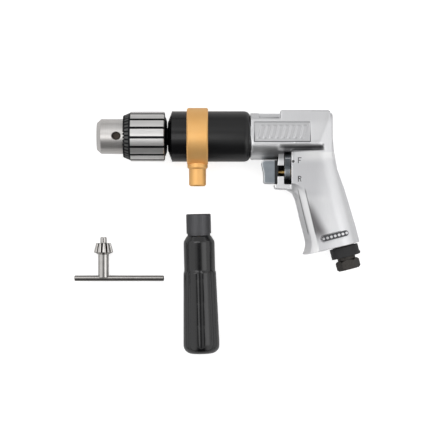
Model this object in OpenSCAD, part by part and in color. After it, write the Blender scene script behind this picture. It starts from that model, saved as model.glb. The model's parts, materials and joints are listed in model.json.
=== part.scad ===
// Pistol air drill with keyed chuck, clamp-on side handle and chuck key.
// The set lies on its side: X runs from the chuck nose to the grip, Y points from grip to barrel, Z is up.
// The origin is the middle of the chuck nose face, on the barrel axis.

/* [Chuck] */
// Length of the plain chuck nose
nose_len = 22.7; // [21.5:0.1:24]
// Radius of the chuck nose
nose_r = 15.05; // [14.8:0.05:15.3]
// Length of the toothed cone of the sleeve
tooth_len = 6.4; // [6:0.1:6.8]
// Length of the fluted part of the sleeve
sleeve_len = 29.4; // [28:0.1:31]
// Radius of the fluted sleeve
sleeve_r = 21.4; // [21.2:0.1:22.5]
// Number of teeth on the sleeve
chuck_teeth = 36; // [30:1:40]
// Number of flutes on the sleeve
flute_count = 16; // [12:1:20]
// Largest drill shank radius
grip_r = 6.5; // [6.3:0.05:6.6]
// Radius of the holes for the chuck key
key_hole_r = 3.2; // [3:0.1:3.5]
// Closing travel of a jaw along its own bore
jaw_travel = 25; // [20:1:25]

/* [Gear case and motor] */
// Length of the gear case in front of the joint under the clamp
case_len = 25.3; // [25:0.1:27]
// Length of the motor housing
housing_len = 45.9; // [45:0.1:50]
// Radius of the gear case and motor housing
case_r = 21.8; // [21.6:0.1:23]
// Gear module
gear_module = 0.75; // [0.74:0.01:0.76]
// Radius of the motor rotor
rotor_r = 11.4; // [11:0.1:11.6]
// Number of rotor vanes
vane_count = 5; // [4:1:6]

/* [Clamp] */
// Width of the clamp ring along the barrel
clamp_w = 18.2; // [16:0.1:19]
// Wall of the clamp ring around the housing
clamp_wall = 2.9; // [2.6:0.1:4.5]
// Radius of the handle post
post_r = 7.35; // [7:0.05:7.6]
// Distance from the barrel axis to the end of the post
post_reach = 43; // [40:0.5:46]

/* [Pistol body] */
// Radius of the cast barrel
barrel_r = 20.1; // [19.9:0.1:20.4]
// Length of the cast barrel behind the motor housing
barrel_len = 70.5; // [70:0.1:71]
// Half width of the grip
grip_half = 17; // [16.5:0.1:17.4]
// Height of the top slab above the barrel axis
slab_top = 22.3; // [21.5:0.1:23.5]
// Slope of the grip and the air inlet
inlet_tilt = 14.5; // [14:0.1:15]

/* [Controls] */
// Pull of the trigger
trigger_travel = 4.5; // [3:0.1:4.5]
// Half width of the trigger
trigger_half = 9.5; // [8.5:0.1:9.5]
// Reach of the reversing lever from the valve axis
lever_reach = 16.4; // [15:0.1:16.5]

/* [Air inlet] */
// Width of the inlet hex across flats
hex_flats = 18; // [17:0.5:19]
// Radius of the tapped inlet hole
inlet_r = 5.7; // [5.4:0.05:6]
// Radius of the exhaust deflector
deflector_r = 12.4; // [12:0.1:13]
// Height of the exhaust deflector
deflector_len = 9; // [8.5:0.1:9.2]

/* [Side handle] */
// Length of the handle
handle_len = 121.3; // [112:0.5:125]
// Largest radius of the handle
handle_r = 15.9; // [15.2:0.1:17]
// Radius of the handle ferrule
ferrule_r = 10.7; // [10:0.1:11]
// Length of the handle ferrule
ferrule_len = 17; // [16:0.1:18]
// Number of grooves around the handle
handle_grooves = 8; // [6:1:9]

/* [Chuck key] */
// Radius of the key pilot
key_pilot_r = 2.8; // [2.6:0.05:2.95]
// Number of teeth on the key
key_teeth = 11; // [10:1:12]
// Radius of the key bar
key_bar_r = 2.45; // [2.2:0.1:2.6]
// Length of the key bar
key_bar_len = 78.2; // [70:0.1:84]

/* [Hidden] */
$fn = 64;
// How far a cutter runs past the face that it opens
over = 1;
// Radial clearance of a running fit
run_gap = 0.05;
// Clearance of a fixed seat
seat_gap = 0.02;

// Chuck, from nose to back
nose_face_r = 11.8;
nose_taper_len = 3.6;
tooth_front_r = 18;
tooth_back_r = 20.7;
tooth_depth = 2.4;
tooth_ref_r = 18.5;
tooth_slope = 21;
tooth_flank = 30;
tooth_cut = 4;
tooth_cut_len = 12;
flute_w = 1.8;
flute_depth = 0.9;
flute_phase = 4.5;
sleeve_bevel = 0.9;
chuck_back_len = 1.8;
chuck_back_r = 13.6;
key_hole_back = 5.6;
key_hole_depth = 7;
key_hole_mouth = 1;
jaw_tilt = 12;
jaw_r = 2.95;
jaw_ref_x = 15;
jaw_ref_r = 9.5;
jaw_front_x = 6.5;
jaw_front_s = 12;
jaw_tail_s = 31.5;
jaw_back_flat = 1.6;
jaw_meet_gap = 0.15;
jaw_half_angle = 60;
nut_x = 32;
nut_w = 5;
nut_r = 16.4;
nut_outer_r = 19.2;
flange_x = 47;
flange_r = 18.2;
shank_bore_gap = 0.1;
shank_bore_len = 32;
web_end = 46;
screw_r = 2.5;
screw_head_r = 4.6;
screw_head_len = 3.5;
screw_len = 20;
screw_socket_r = 2;
screw_socket_len = 2;
spindle_thread_r = 6.3;
screw_seat = shank_bore_len + screw_head_len;
teeth_x = nose_len;
sleeve_x = teeth_x + tooth_len;
sleeve_end = sleeve_x + sleeve_len;
chuck_end = sleeve_end + chuck_back_len;
key_hole_x = nose_len - key_hole_back;
jaw_reach = jaw_travel * sin(jaw_tilt);

// Gear case
neck_gap = 0.9;
neck_r = 7.5;
case_face_r = 12.2;
case_cone_len = 3.5;
lip_gap = 0.5;
seal_x = 1.4;
seal_w = 2.8;
seal_r = 10.5;
lip_len = 4.3;
ball_bearing_w = 8;
ball_bearing_r = 14;
ball_bearing_bore = 6;
ball_pitch_r = 10;
ball_r = 2.3;
ball_count = 8;
race_land = 1.4;
clip_w = 1;
clip_r = 15;
clip_bore = 13;
carrier_gap = 0.7;
carrier_w = 2.8;
carrier_r = 14.5;
planet_gap = 0.5;
planet_w = 8;
ring_front_gap = 0.1;
ring_outer_r = 18.4;
ring_w = 10.1;
pin_r = 1.9;
spigot_r = 20;
spigot_len = 5.5;
case_x = chuck_end + neck_gap;
joint_x = case_x + case_len;
housing_end = joint_x + housing_len;
bearing_x = case_x + lip_len;
clip_x = bearing_x + ball_bearing_w + seat_gap;
carrier_x = clip_x + clip_w + carrier_gap;
planet_x = carrier_x + carrier_w + planet_gap;
ring_x = carrier_x + carrier_w - ring_front_gap;
ring_end = ring_x + ring_w;
shoulder_x = joint_x + spigot_len;

// Gear teeth
tip_share = 0.85;
root_share = 1.25;
thick_share = 0.41;
space_share = 0.59;
flank_angle = 20;
sun_teeth = 12;
planet_teeth = 15;
ring_teeth = sun_teeth + 2 * planet_teeth;
sun_pitch_r = gear_module * sun_teeth / 2;
planet_pitch_r = gear_module * planet_teeth / 2;
ring_pitch_r = gear_module * ring_teeth / 2;
orbit_r = sun_pitch_r + planet_pitch_r;

// Motor
motor_r = 17;
housing_round = 5.6;
rotor_bearing_r = 9.5;
rotor_bearing_w = 6;
journal_r = 4;
rotor_ball_r = 1.5;
rotor_ball_pitch_r = 6.75;
rotor_ball_count = 8;
rotor_race_land = 0.95;
shaft_r = 3.4;
rotor_shoulder_r = 5;
shoulder_hole_r = 5.4;
plate_wall = 2.8;
plate_flange_r = 18.3;
chamber_r = 13.2;
chamber_shift = 1.5;
chamber_len = 25.5;
chamber_end_gap = 0.3;
slot_w = 2;
slot_depth = 5;
vane_gap = 0.05;
vane_inset = 0.1;
rear_flange_w = 1.5;
rear_body_r = 15;
rear_body_w = 7;
rear_wall = 0.5;
dowel_r = 1.2;
dowel_y = 14.3;
dowel_end_gap = 0.5;
port_r = 1.8;
port_y = 11;
port_z = 5.3;
port_hole_r = 1.5;
front_bearing_x = ring_end + seat_gap;
front_plate_end = front_bearing_x + rotor_bearing_w + plate_wall;
dowel_x = front_plate_end - plate_wall + dowel_end_gap;
chamber_end = front_plate_end + chamber_len;
rear_body_x = chamber_end + rear_flange_w;
rear_bearing_x = rear_body_x + rear_wall;
rear_plate_end = rear_body_x + rear_body_w;

// Clamp
clamp_shift = 0.2;
clamp_chamfer = 1;
boss_r = 8.8;
boss_reach = 26.8;
boss_taper = 1.5;
post_chamfer = 1.2;
clamp_screw_r = 3;
clamp_screw_len = 12;
clamp_screw_socket_r = 1.5;
clamp_screw_socket_len = 4;
clamp_r = case_r + clamp_wall;
clamp_x = joint_x + clamp_shift - clamp_w / 2;
post_x = clamp_x + clamp_w / 2;

// Pistol body, points from the middle of the housing end on the barrel axis
side_z = 18.3;
side_low = 5;
side_tilt = 12;
slab_front = 26;
slab_back = 1.9;
slab_round = 2.5;
recess_front = 7.1;
recess_floor = 15.6;
pad_top = 19.5;
pad_half = 6;
panel_x = 2;
panel_len = 50;
panel_top = 13.4;
panel_bottom = 5.8;
panel_rim = 0.9;
panel_sink = 0.7;
panel_bar_w = 1.4;
panel_bar_step = 5.2;
bar_mid_share = 0.5;
panel_bars = 8;
panel_bar_slope = 1.4;
panel_bar_inset = 4.2;
taper_start = 11;
taper_depth = 6;
rear_edge = [[70.5, 14], [70.9, -0.8], [71.7, -13.2], [73, -20.6], [74.3, -28.5], [80.8, -46], [90.7, -78.1],
    [94, -90.7]];
strap_edge = [[44.1, -101.8], [46.5, -95.9], [47, -90], [44.2, -80.4], [41.5, -67.2], [38.6, -54.9],
    [36.1, -48.9], [31.1, -46], [21, -45.5], [20, -42.1]];
strap_toe = [48.7, -101.8];
slot_back = 34.8;
slot_front = 28.6;
slot_floor = 7.5;
cheek_front = 22.9;
cheek_top_front = 24.4;
cheek_inner = 9.9;
cheek_outer = 13;
cheek_root = 12;
cheek_low = 25.5;
window_low = 34.6;
shelf_top = 41.5;
shelf_half = 13;
slot_top = 13.8;
valley = [[24, -5.8], [60.8, -6.2], [63.8, -12.6], [24, -12.6]];
valley_section = [[-5.6, 19], [-11.6, 14.8], [-13.2, 19]];
section_ref = 67.2;
section_front = 41.3;
section_len = 45.6;
strap_half = 7;
strap_facet = 5;
strap_facet_half = 12.5;
strap_bevel = 6;
corner_s = 11.2;
corner_r = 6.6;
foot_s = 22;
foot_r = 17;
turn_reach = 90;
badge_x = 72.2;
badge_y = 85.7;
badge_len = 26;
badge_w = 6;
badge_sink = 0.6;
badge_dots = 6;
badge_dot_r = 1.1;
badge_dot_step = 3.4;
mark_sink = 0.3;
mark_line = 0.7;
mark_h = 5;
mark_w = 3;
mark_x = 40.3;
mark_f_y = 23.6;
mark_r_y = 39.3;
mark_dot_x = 36.3;
mark_dot_y = 22;
mark_dot_r = 1.2;
mark_bowl_r = 1.35;
spigot_bore_gap = 0.05;
back_chamber_r = 12;
back_chamber_len = 4;
gallery_x = 44;

// Trigger and valve, heights below the barrel axis
valve_y = 30.9;
valve_r = 5;
valve_len = 33;
trigger_front = 9.2;
trigger_rest_gap = 0.1;
trigger_back = slot_front - trigger_travel - trigger_rest_gap;
trigger_top = 20.6;
trigger_bottom = 41;
trigger_wall = 2.5;
trigger_skin = 3;
trigger_nose = [[11.2, -20.6], [9.2, -23], [10, -27.5], [10.9, -31.5], [11.2, -35.5], [11, -39.6], [12.2, -41]];
trigger_boss_r = 4;
trigger_boss_back = 20;
trigger_hole_r = 3.2;
trigger_hole_x = 16.6;
stem_r = 2;
stem_front = 12.6;
spool_front = 29.2;
spool_end = 51.6;
spool_guide_len = 9;
spool_bore = 3.8;
spool_port_r = 1.6;
spool_port_x = 43.5;
seat_x = 52.1;
seat_w = 2.5;
seat_hole_r = 2.8;
poppet_r = 3.6;
poppet_w = 2.2;
poppet_face_gap = 0.05;
spring_r = 3;
spring_bore = 2;
lever_hub_r = 6.2;
lever_w = 5.2;
lever_from = 46;
lever_to = 100;
poppet_x = housing_end + seat_x + seat_w + poppet_face_gap;
spring_x = poppet_x + poppet_w;
valve_end = housing_end + slot_back + valve_len;

// Air inlet, measured along its own sloping axis from the foot of the grip
inlet_x = 80.2;
inlet_y = 94.7;
inlet_thread_r = 8.5;
inlet_thread_len = 18;
inlet_passage_r = 4;
inlet_passage_len = 66;
inlet_collar_r = 9.5;
inlet_neck_r = 7.8;
inlet_neck_len = 2.6;
inlet_end = 20.5;
inlet_hole_len = 14;
hex_chamfer = 1.4;
deflector_gap = 0.4;
deflector_bore_gap = 0.1;
deflector_bump_r = 1.4;
deflector_bump_x = 11.8;
deflector_bump_z = 7.4;
oring_r = 1;
oring_s = 5;
screen_r = 4.9;
screen_w = 0.8;
screen_hole_r = 0.6;
screen_pitch = 1.7;
screen_seat_len = 1.6;

// Side handle, measured along its own axis from the ferrule mouth
handle_x = 87.3;
handle_y = 66.8;
handle_lean = 1.4;
ferrule_bore_gap = 0.1;
ferrule_bore_len = 15;
ferrule_chamfer = 0.6;
ferrule_neck_r = 9.9;
ferrule_neck_len = 1.8;
ferrule_core_r = 6;
ferrule_core_len = 27;
shoulder_len = 5.2;
shoulder_front_r = 10.4;
shank_r = 13.5;
step_s = 49.8;
step_r = 14.4;
step_round = 0.8;
widest_s = 110.9;
end_round = 8;
groove_r = 5;
groove_sink = 0.85;

// Chuck key, measured along its own axis from the pilot tip
key_x = 4.5;
key_y = 86.9;
key_pilot_len = 5.3;
key_pilot_chamfer = 0.5;
key_front_r = 6.4;
key_back_r = 8.5;
key_gear_len = 8;
key_taper_len = 1.9;
key_shank_r = 4.65;
key_shank_end = 35.3;
key_bar_s = 36;
key_bar_left = 25.4;
key_bar_chamfer = 0.6;
key_tooth_depth = 2.2;
key_tooth_flank = 24;
key_tooth_cut = 4;
key_tooth_lean = 16;

floor_z = -clamp_r;
handle_z = floor_z + handle_r;
key_z = floor_z + key_back_r;

steel_c = [0.72, 0.72, 0.72];
dark_steel_c = [0.35, 0.35, 0.36];
black_c = [0.06, 0.06, 0.07];
gold_c = [0.85, 0.6, 0.25];
alloy_c = [0.82, 0.82, 0.84];
grey_c = [0.5, 0.52, 0.54];
brass_c = [0.75, 0.6, 0.3];
rubber_c = [0.1, 0.1, 0.1];

// Turns a shape built along Z to run along the barrel from x
module on_x(x = 0) {
    translate([x, 0, 0]) rotate([0, 90, 0]) children();
}

// Solid round bar along the barrel
module rod(x0, x1, r) {
    on_x(x0) cylinder(h = x1 - x0, r = r);
}

// Plain ring along the barrel
module ring(x0, x1, r, bore) {
    difference() {
        rod(x0, x1, r);
        rod(x0 - over, x1 + over, bore);
    }
}

// Turned shape along the barrel from [radius, x] points
module turned(points) {
    on_x() rotate_extrude() polygon(points);
}

// Puts a shape built along Z onto the valve axis
module on_valve(x) {
    translate([x, -valve_y, 0]) rotate([0, 90, 0]) children();
}

// Puts a shape built along Z onto the sloping inlet axis, Z pointing out of the grip
module on_inlet() {
    translate([housing_end + inlet_x, -inlet_y, 0]) rotate([0, 0, inlet_tilt]) rotate([90, 0, 0]) children();
}

// Puts a shape built along Z onto the side handle axis
module on_handle() {
    translate([handle_x, -handle_y, handle_z]) rotate([0, 0, handle_lean]) rotate([90, 0, 0]) children();
}

// Puts a shape built along Z onto the chuck key axis
module on_key() {
    translate([key_x, -key_y, key_z]) rotate([90, 0, 0]) children();
}

// Puts a shape built along Z onto a jaw axis, Z pointing to the back of the chuck
module on_jaw(turn) {
    rotate([turn, 0, 0]) translate([jaw_ref_x, 0, jaw_ref_r]) rotate([0, 90 - jaw_tilt, 0]) children();
}

// Straight sided gear outline with one tooth on the X axis
module gear_outline(teeth, pitch_r, tip, root, thick) {
    tip_r = pitch_r + tip;
    root_r = pitch_r - root;
    tip_w = thick / 2 - tip * tan(flank_angle);
    root_w = thick / 2 + root * tan(flank_angle);
    circle(r = root_r);
    for (i = [0 : teeth - 1])
        rotate(i * 360 / teeth)
            polygon([[0, -root_w], [root_r, -root_w], [tip_r, -tip_w], [tip_r, tip_w], [root_r, root_w],
                [0, root_w]]);
}

// Tooth thickness on the pitch line for a share of the pitch
function on_pitch(share) = PI * gear_module * share;

module outer_gear(teeth, pitch_r) {
    gear_outline(teeth, pitch_r, gear_module * tip_share, gear_module * root_share, on_pitch(thick_share));
}

// Ball race grooves are cut with this ring
module ball_track(x, pitch_r, r) {
    on_x(x) rotate_extrude() translate([pitch_r, 0]) circle(r = r);
}

module race_outer(x, w, r, pitch_r, ball, land) {
    difference() {
        ring(x, x + w, r - seat_gap, pitch_r + land);
        ball_track(x + w / 2, pitch_r, ball + seat_gap);
    }
}

module race_inner(x, w, bore, pitch_r, ball, land) {
    difference() {
        ring(x, x + w, pitch_r - land, bore + seat_gap);
        ball_track(x + w / 2, pitch_r, ball + run_gap);
    }
}

module race_balls(x, w, pitch_r, ball, count) {
    for (i = [0 : count - 1])
        rotate([i * 360 / count, 0, 0]) translate([x + w / 2, 0, pitch_r]) sphere(r = ball);
}

module chuck_body() {
    color(steel_c) difference() {
        turned([[0, 0], [nose_face_r, 0], [nose_r, nose_taper_len], [nose_r, flange_x], [flange_r, flange_x],
            [flange_r, sleeve_end], [chuck_back_r, chuck_end], [0, chuck_end]]);
        rod(-over, shank_bore_len, grip_r + shank_bore_gap);
        rod(0, screw_seat, screw_head_r + seat_gap);
        rod(0, chuck_end, screw_r + seat_gap);
        rod(web_end, chuck_end + over, spindle_thread_r + seat_gap);
        for (turn = [60, 180, 300])
            on_jaw(turn) translate([0, 0, -jaw_tail_s])
                cylinder(h = 2 * jaw_tail_s + over, r = jaw_r + run_gap);
        for (turn = [0, 120, 240]) rotate([turn, 0, 0]) translate([key_hole_x, 0, 0]) {
            translate([0, 0, nose_r - key_hole_depth]) cylinder(h = key_hole_depth + over, r = key_hole_r);
            translate([0, 0, nose_r - key_hole_mouth])
                cylinder(h = key_hole_mouth + over, r1 = key_hole_r, r2 = key_hole_r + key_hole_mouth + over);
        }
    }
}

module chuck_sleeve() {
    color(steel_c) difference() {
        turned([[nose_r + run_gap, teeth_x], [tooth_front_r, teeth_x], [tooth_back_r, sleeve_x],
            [sleeve_r, sleeve_x], [sleeve_r, sleeve_end - sleeve_bevel], [sleeve_r - sleeve_bevel, sleeve_end],
            [flange_r + run_gap, sleeve_end], [flange_r + run_gap, flange_x], [nut_outer_r, flange_x],
            [nut_outer_r, nut_x], [nose_r + run_gap, nut_x]]);
        for (i = [0 : chuck_teeth - 1])
            rotate([i * 360 / chuck_teeth, 0, 0]) translate([teeth_x + tooth_depth, 0, tooth_ref_r])
                rotate([0, tooth_slope, 0]) linear_extrude(height = tooth_cut_len, center = true)
                    polygon([[0, 0], [-tooth_cut, tooth_cut * tan(tooth_flank)],
                        [-tooth_cut, -tooth_cut * tan(tooth_flank)]]);
        for (i = [0 : flute_count - 1])
            rotate([flute_phase + i * 360 / flute_count, 0, 0])
                translate([sleeve_x - over, -flute_w / 2, sleeve_r - flute_depth])
                    cube([sleeve_len + 2 * over, flute_w, flute_depth + over]);
    }
}

module chuck_nut() {
    color(dark_steel_c) ring(nut_x, nut_x + nut_w, nut_outer_r - seat_gap, nut_r);
}

// One jaw with a wedge nose, so that the three meet without touching when closed
module jaw(turn) {
    color(steel_c) intersection() {
        on_jaw(turn) difference() {
            translate([0, 0, -jaw_front_s]) cylinder(h = jaw_front_s + jaw_tail_s, r = jaw_r);
            translate([-jaw_back_flat - nut_outer_r, -nut_outer_r, -jaw_front_s - over])
                cube([nut_outer_r, 2 * nut_outer_r, jaw_front_s + jaw_tail_s + 2 * over]);
        }
        rotate([turn, 0, 0]) translate([jaw_front_x, -nut_outer_r, grip_r])
            cube([flange_x, 2 * nut_outer_r, nut_outer_r]);
        rotate([turn, 0, 0]) translate([0, 0, jaw_reach + jaw_meet_gap]) rotate([90, 0, 90])
            linear_extrude(height = flange_x)
                polygon([[0, 0], [nut_outer_r * tan(jaw_half_angle), nut_outer_r],
                    [-nut_outer_r * tan(jaw_half_angle), nut_outer_r]]);
    }
}

module jaw_1() {
    jaw(60);
}

module jaw_2() {
    jaw(180);
}

module jaw_3() {
    jaw(300);
}

module chuck_screw() {
    color(dark_steel_c) difference() {
        union() {
            rod(shank_bore_len + seat_gap, screw_seat, screw_head_r);
            rod(screw_seat, screw_seat + screw_len, screw_r);
        }
        on_x(shank_bore_len - over)
            cylinder(h = screw_socket_len + over, r = screw_socket_r, $fn = 6);
    }
}

module spindle() {
    color(dark_steel_c) difference() {
        union() {
            rod(web_end + seat_gap, chuck_end, spindle_thread_r);
            rod(chuck_end + seat_gap, bearing_x, neck_r);
            rod(chuck_end, clip_x, ball_bearing_bore);
            rod(clip_x, carrier_x, neck_r);
            rod(carrier_x, carrier_x + carrier_w, carrier_r);
        }
        rod(web_end, screw_seat + screw_len + over, screw_r + seat_gap);
        for (turn = [0, 120, 240]) rotate([turn, 0, 0]) translate([0, 0, orbit_r])
            rod(carrier_x - over, carrier_x + carrier_w + over, pin_r + seat_gap);
    }
}

module spindle_seal() {
    color(rubber_c) ring(case_x + seal_x, case_x + seal_x + seal_w, seal_r - seat_gap, neck_r + run_gap);
}

module spindle_bearing_outer() {
    color(steel_c) race_outer(bearing_x, ball_bearing_w, ball_bearing_r, ball_pitch_r, ball_r, race_land);
}

module spindle_bearing_inner() {
    color(steel_c) race_inner(bearing_x, ball_bearing_w, ball_bearing_bore, ball_pitch_r, ball_r, race_land);
}

module spindle_bearing_balls() {
    color(steel_c) race_balls(bearing_x, ball_bearing_w, ball_pitch_r, ball_r, ball_count);
}

module bearing_clip() {
    color(dark_steel_c) ring(clip_x, clip_x + clip_w, clip_r - seat_gap, clip_bore);
}

module planet_pins() {
    color(steel_c) for (turn = [0, 120, 240]) rotate([turn, 0, 0]) translate([0, 0, orbit_r])
        rod(carrier_x, planet_x + planet_w, pin_r);
}

// One planet gear, a tooth pointing straight out from the barrel axis
module planet(turn) {
    color(dark_steel_c) rotate([turn, 0, 0]) translate([0, 0, orbit_r]) difference() {
        on_x(planet_x) linear_extrude(height = planet_w)
            rotate(180) outer_gear(planet_teeth, planet_pitch_r);
        rod(planet_x - over, planet_x + planet_w + over, pin_r + run_gap);
    }
}

module planet_1() {
    planet(0);
}

module planet_2() {
    planet(120);
}

module planet_3() {
    planet(240);
}

module ring_gear() {
    color(dark_steel_c) difference() {
        rod(ring_x, ring_end, ring_outer_r);
        on_x(ring_x - over) linear_extrude(height = ring_w + 2 * over) rotate(180)
            gear_outline(ring_teeth, ring_pitch_r, gear_module * root_share, gear_module * tip_share,
                on_pitch(space_share));
    }
}

module gear_case() {
    color(black_c) turned([[neck_r + lip_gap, case_x], [case_face_r, case_x], [case_r, case_x + case_cone_len],
        [case_r, joint_x], [spigot_r, joint_x], [spigot_r, shoulder_x - seat_gap],
        [ring_outer_r + seat_gap, shoulder_x - seat_gap], [ring_outer_r + seat_gap, ring_x - seat_gap],
        [clip_r, ring_x - seat_gap], [clip_r, clip_x - seat_gap], [ball_bearing_r, clip_x - seat_gap],
        [ball_bearing_r, bearing_x], [seal_r, bearing_x], [seal_r, case_x + seal_x],
        [neck_r + lip_gap, case_x + seal_x]]);
}

module motor_housing() {
    color(black_c) on_x() rotate_extrude() difference() {
        union() {
            translate([motor_r, joint_x + seat_gap])
                square([case_r - motor_r, housing_len - housing_round - seat_gap]);
            intersection() {
                translate([case_r - housing_round, housing_end - housing_round]) circle(r = housing_round);
                translate([motor_r, housing_end - housing_round - over])
                    square([case_r - motor_r, housing_round + 2 * over]);
            }
        }
        translate([motor_r - over, joint_x]) square([spigot_r + seat_gap - motor_r + over, spigot_len]);
    }
}

module front_plate() {
    color(dark_steel_c) difference() {
        union() {
            rod(front_bearing_x, shoulder_x - seat_gap, plate_flange_r);
            rod(front_bearing_x, front_plate_end - seat_gap, motor_r - seat_gap);
        }
        rod(front_bearing_x - over, front_bearing_x + rotor_bearing_w, rotor_bearing_r);
        rod(front_bearing_x, front_plate_end + over, shoulder_hole_r);
        translate([0, -dowel_y, 0]) rod(dowel_x - dowel_end_gap, front_plate_end + over, dowel_r + seat_gap);
    }
}

module rear_plate() {
    color(dark_steel_c) difference() {
        union() {
            rod(chamber_end + seat_gap, rear_body_x, motor_r - seat_gap);
            rod(rear_body_x - seat_gap, rear_plate_end, rear_body_r - seat_gap);
        }
        rod(rear_bearing_x, rear_plate_end + over, rotor_bearing_r);
        rod(chamber_end, rear_plate_end, shoulder_hole_r);
        translate([0, -dowel_y, 0]) rod(chamber_end - over, rear_body_x + over, dowel_r + seat_gap);
        for (side = [-1, 1]) translate([0, -port_y, side * port_z])
            rod(chamber_end - over, rear_plate_end + over, port_r);
    }
}

module motor_cylinder() {
    color(dark_steel_c) difference() {
        rod(front_plate_end, chamber_end, motor_r - seat_gap);
        translate([0, chamber_shift, 0]) rod(front_plate_end - over, chamber_end + over, chamber_r);
        translate([0, -dowel_y, 0]) rod(front_plate_end - over, chamber_end + over, dowel_r + seat_gap);
        for (step = [1, 2, 3]) translate([front_plate_end + step * chamber_len / 4, 0, 0])
            cylinder(h = motor_r + over, r = port_hole_r);
    }
}

module motor_dowel() {
    color(steel_c) translate([0, -dowel_y, 0]) rod(dowel_x, rear_body_x - seat_gap, dowel_r);
}

module rotor() {
    color(dark_steel_c) difference() {
        union() {
            on_x(planet_x) linear_extrude(height = planet_w) outer_gear(sun_teeth, sun_pitch_r);
            rod(planet_x, rear_bearing_x + rotor_bearing_w, shaft_r);
            rod(front_bearing_x, front_bearing_x + rotor_bearing_w, journal_r);
            rod(rear_bearing_x, rear_bearing_x + rotor_bearing_w, journal_r);
            rod(front_bearing_x + rotor_bearing_w + seat_gap, rear_bearing_x - seat_gap, rotor_shoulder_r);
            rod(front_plate_end + chamber_end_gap, chamber_end - chamber_end_gap, rotor_r);
        }
        for (i = [0 : vane_count - 1]) rotate([i * 360 / vane_count, 0, 0])
            translate([front_plate_end, -slot_w / 2, rotor_r - slot_depth])
                cube([chamber_len, slot_w, slot_depth + over]);
    }
}

module vanes() {
    color(brass_c) for (i = [0 : vane_count - 1]) rotate([i * 360 / vane_count, 0, 0])
        translate([front_plate_end + chamber_end_gap, vane_gap - slot_w / 2, rotor_r - slot_depth + seat_gap])
            cube([chamber_len - 2 * chamber_end_gap, slot_w - 2 * vane_gap, slot_depth - vane_inset]);
}

module rotor_bearing_outers() {
    color(steel_c) for (x = [front_bearing_x, rear_bearing_x])
        race_outer(x, rotor_bearing_w, rotor_bearing_r, rotor_ball_pitch_r, rotor_ball_r, rotor_race_land);
}

module rotor_bearing_inners() {
    color(steel_c) for (x = [front_bearing_x, rear_bearing_x])
        race_inner(x, rotor_bearing_w, journal_r, rotor_ball_pitch_r, rotor_ball_r, rotor_race_land);
}

module rotor_bearing_balls() {
    color(steel_c) for (x = [front_bearing_x, rear_bearing_x])
        race_balls(x, rotor_bearing_w, rotor_ball_pitch_r, rotor_ball_r, rotor_ball_count);
}

module clamp_ring() {
    color(gold_c) difference() {
        union() {
            turned([[0, clamp_x], [clamp_r - clamp_chamfer, clamp_x], [clamp_r, clamp_x + clamp_chamfer],
                [clamp_r, clamp_x + clamp_w - clamp_chamfer], [clamp_r - clamp_chamfer, clamp_x + clamp_w],
                [0, clamp_x + clamp_w]]);
            translate([post_x, 0, 0]) rotate([90, 0, 0]) rotate_extrude()
                polygon([[0, 0], [boss_r, 0], [boss_r, boss_reach], [post_r, boss_reach + boss_taper],
                    [post_r, post_reach - post_chamfer], [post_r - post_chamfer, post_reach], [0, post_reach]]);
        }
        rod(clamp_x - over, clamp_x + clamp_w + over, case_r + run_gap);
        translate([post_x, 0, 0]) rotate([90, 0, 0])
            cylinder(h = post_reach + over, r = clamp_screw_r + seat_gap);
    }
}

module clamp_screw() {
    color(dark_steel_c) translate([post_x, -case_r - run_gap, 0]) rotate([90, 0, 0]) difference() {
        cylinder(h = clamp_screw_len, r = clamp_screw_r);
        translate([0, 0, clamp_screw_len - clamp_screw_socket_len])
            cylinder(h = clamp_screw_socket_len + over, r = clamp_screw_socket_r, $fn = 6);
    }
}

// Side outline of the grip, from the barrel down the back, along the foot and up the strap
module grip_outline() {
    polygon(concat([[slot_back, 0], [barrel_len, 0]], rear_edge, [strap_toe], strap_edge,
        [[cheek_front, -shelf_top], [slot_back, -shelf_top]]));
}

// Bevelled front of the grip at right angles to the strap, from the strap to a full width end
module strap_section(start, end) {
    polygon([[start, -strap_half], [start + strap_facet, -strap_facet_half],
        [start + strap_facet + strap_bevel, -grip_half], [end, -grip_half], [end, grip_half],
        [start + strap_facet + strap_bevel, grip_half], [start + strap_facet, strap_facet_half],
        [start, strap_half]]);
}

// Bevelled front that turns away from the straight strap, up from s or down from it
module strap_turn(s, r, from_s) {
    intersection() {
        translate([-r, s, 0]) rotate_extrude() strap_section(r, turn_reach + r);
        translate([-turn_reach, from_s, -grip_half]) cube([2 * turn_reach, turn_reach, 2 * grip_half]);
    }
}

// Width of the grip: bevels that follow the strap between lip and foot, and a round back
module grip_width() {
    translate([housing_end + section_front, -section_ref, 0]) rotate([0, 0, inlet_tilt]) intersection() {
        union() {
            translate([0, corner_s, 0]) rotate([90, 0, 0]) linear_extrude(height = corner_s + foot_s)
                strap_section(0, turn_reach);
            strap_turn(corner_s, corner_r, corner_s);
            strap_turn(-foot_s, foot_r, -foot_s - turn_reach);
        }
        translate([0, turn_reach, 0]) rotate([90, 0, 0]) linear_extrude(height = 2 * turn_reach) union() {
            translate([-turn_reach, -grip_half]) square([turn_reach + section_len - grip_half, 2 * grip_half]);
            translate([section_len - grip_half, 0]) circle(r = grip_half);
        }
    }
}

// Barrel and top slab, trimmed to upright sides that lean in above the side line
module barrel_side() {
    side_top = side_z - (slab_top + side_low) * tan(side_tilt);
    intersection() {
        union() {
            rod(housing_end + seat_gap, housing_end + barrel_len, barrel_r);
            translate([housing_end + slab_front, 0, -barrel_r])
                linear_extrude(height = 2 * barrel_r) union() {
                    square([barrel_len - slab_front - slab_back, slab_top - slab_round]);
                    square([barrel_len - slab_front - slab_back - slab_round, slab_top]);
                    translate([barrel_len - slab_front - slab_back - slab_round, slab_top - slab_round])
                        circle(r = slab_round);
                }
        }
        translate([housing_end, 0, 0]) rotate([90, 0, 90]) linear_extrude(height = barrel_len)
            polygon([[-barrel_r - over, -side_z], [-side_low, -side_z], [slab_top, -side_top],
                [slab_top, side_top], [-side_low, side_z], [-barrel_r - over, side_z]]);
    }
}

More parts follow.
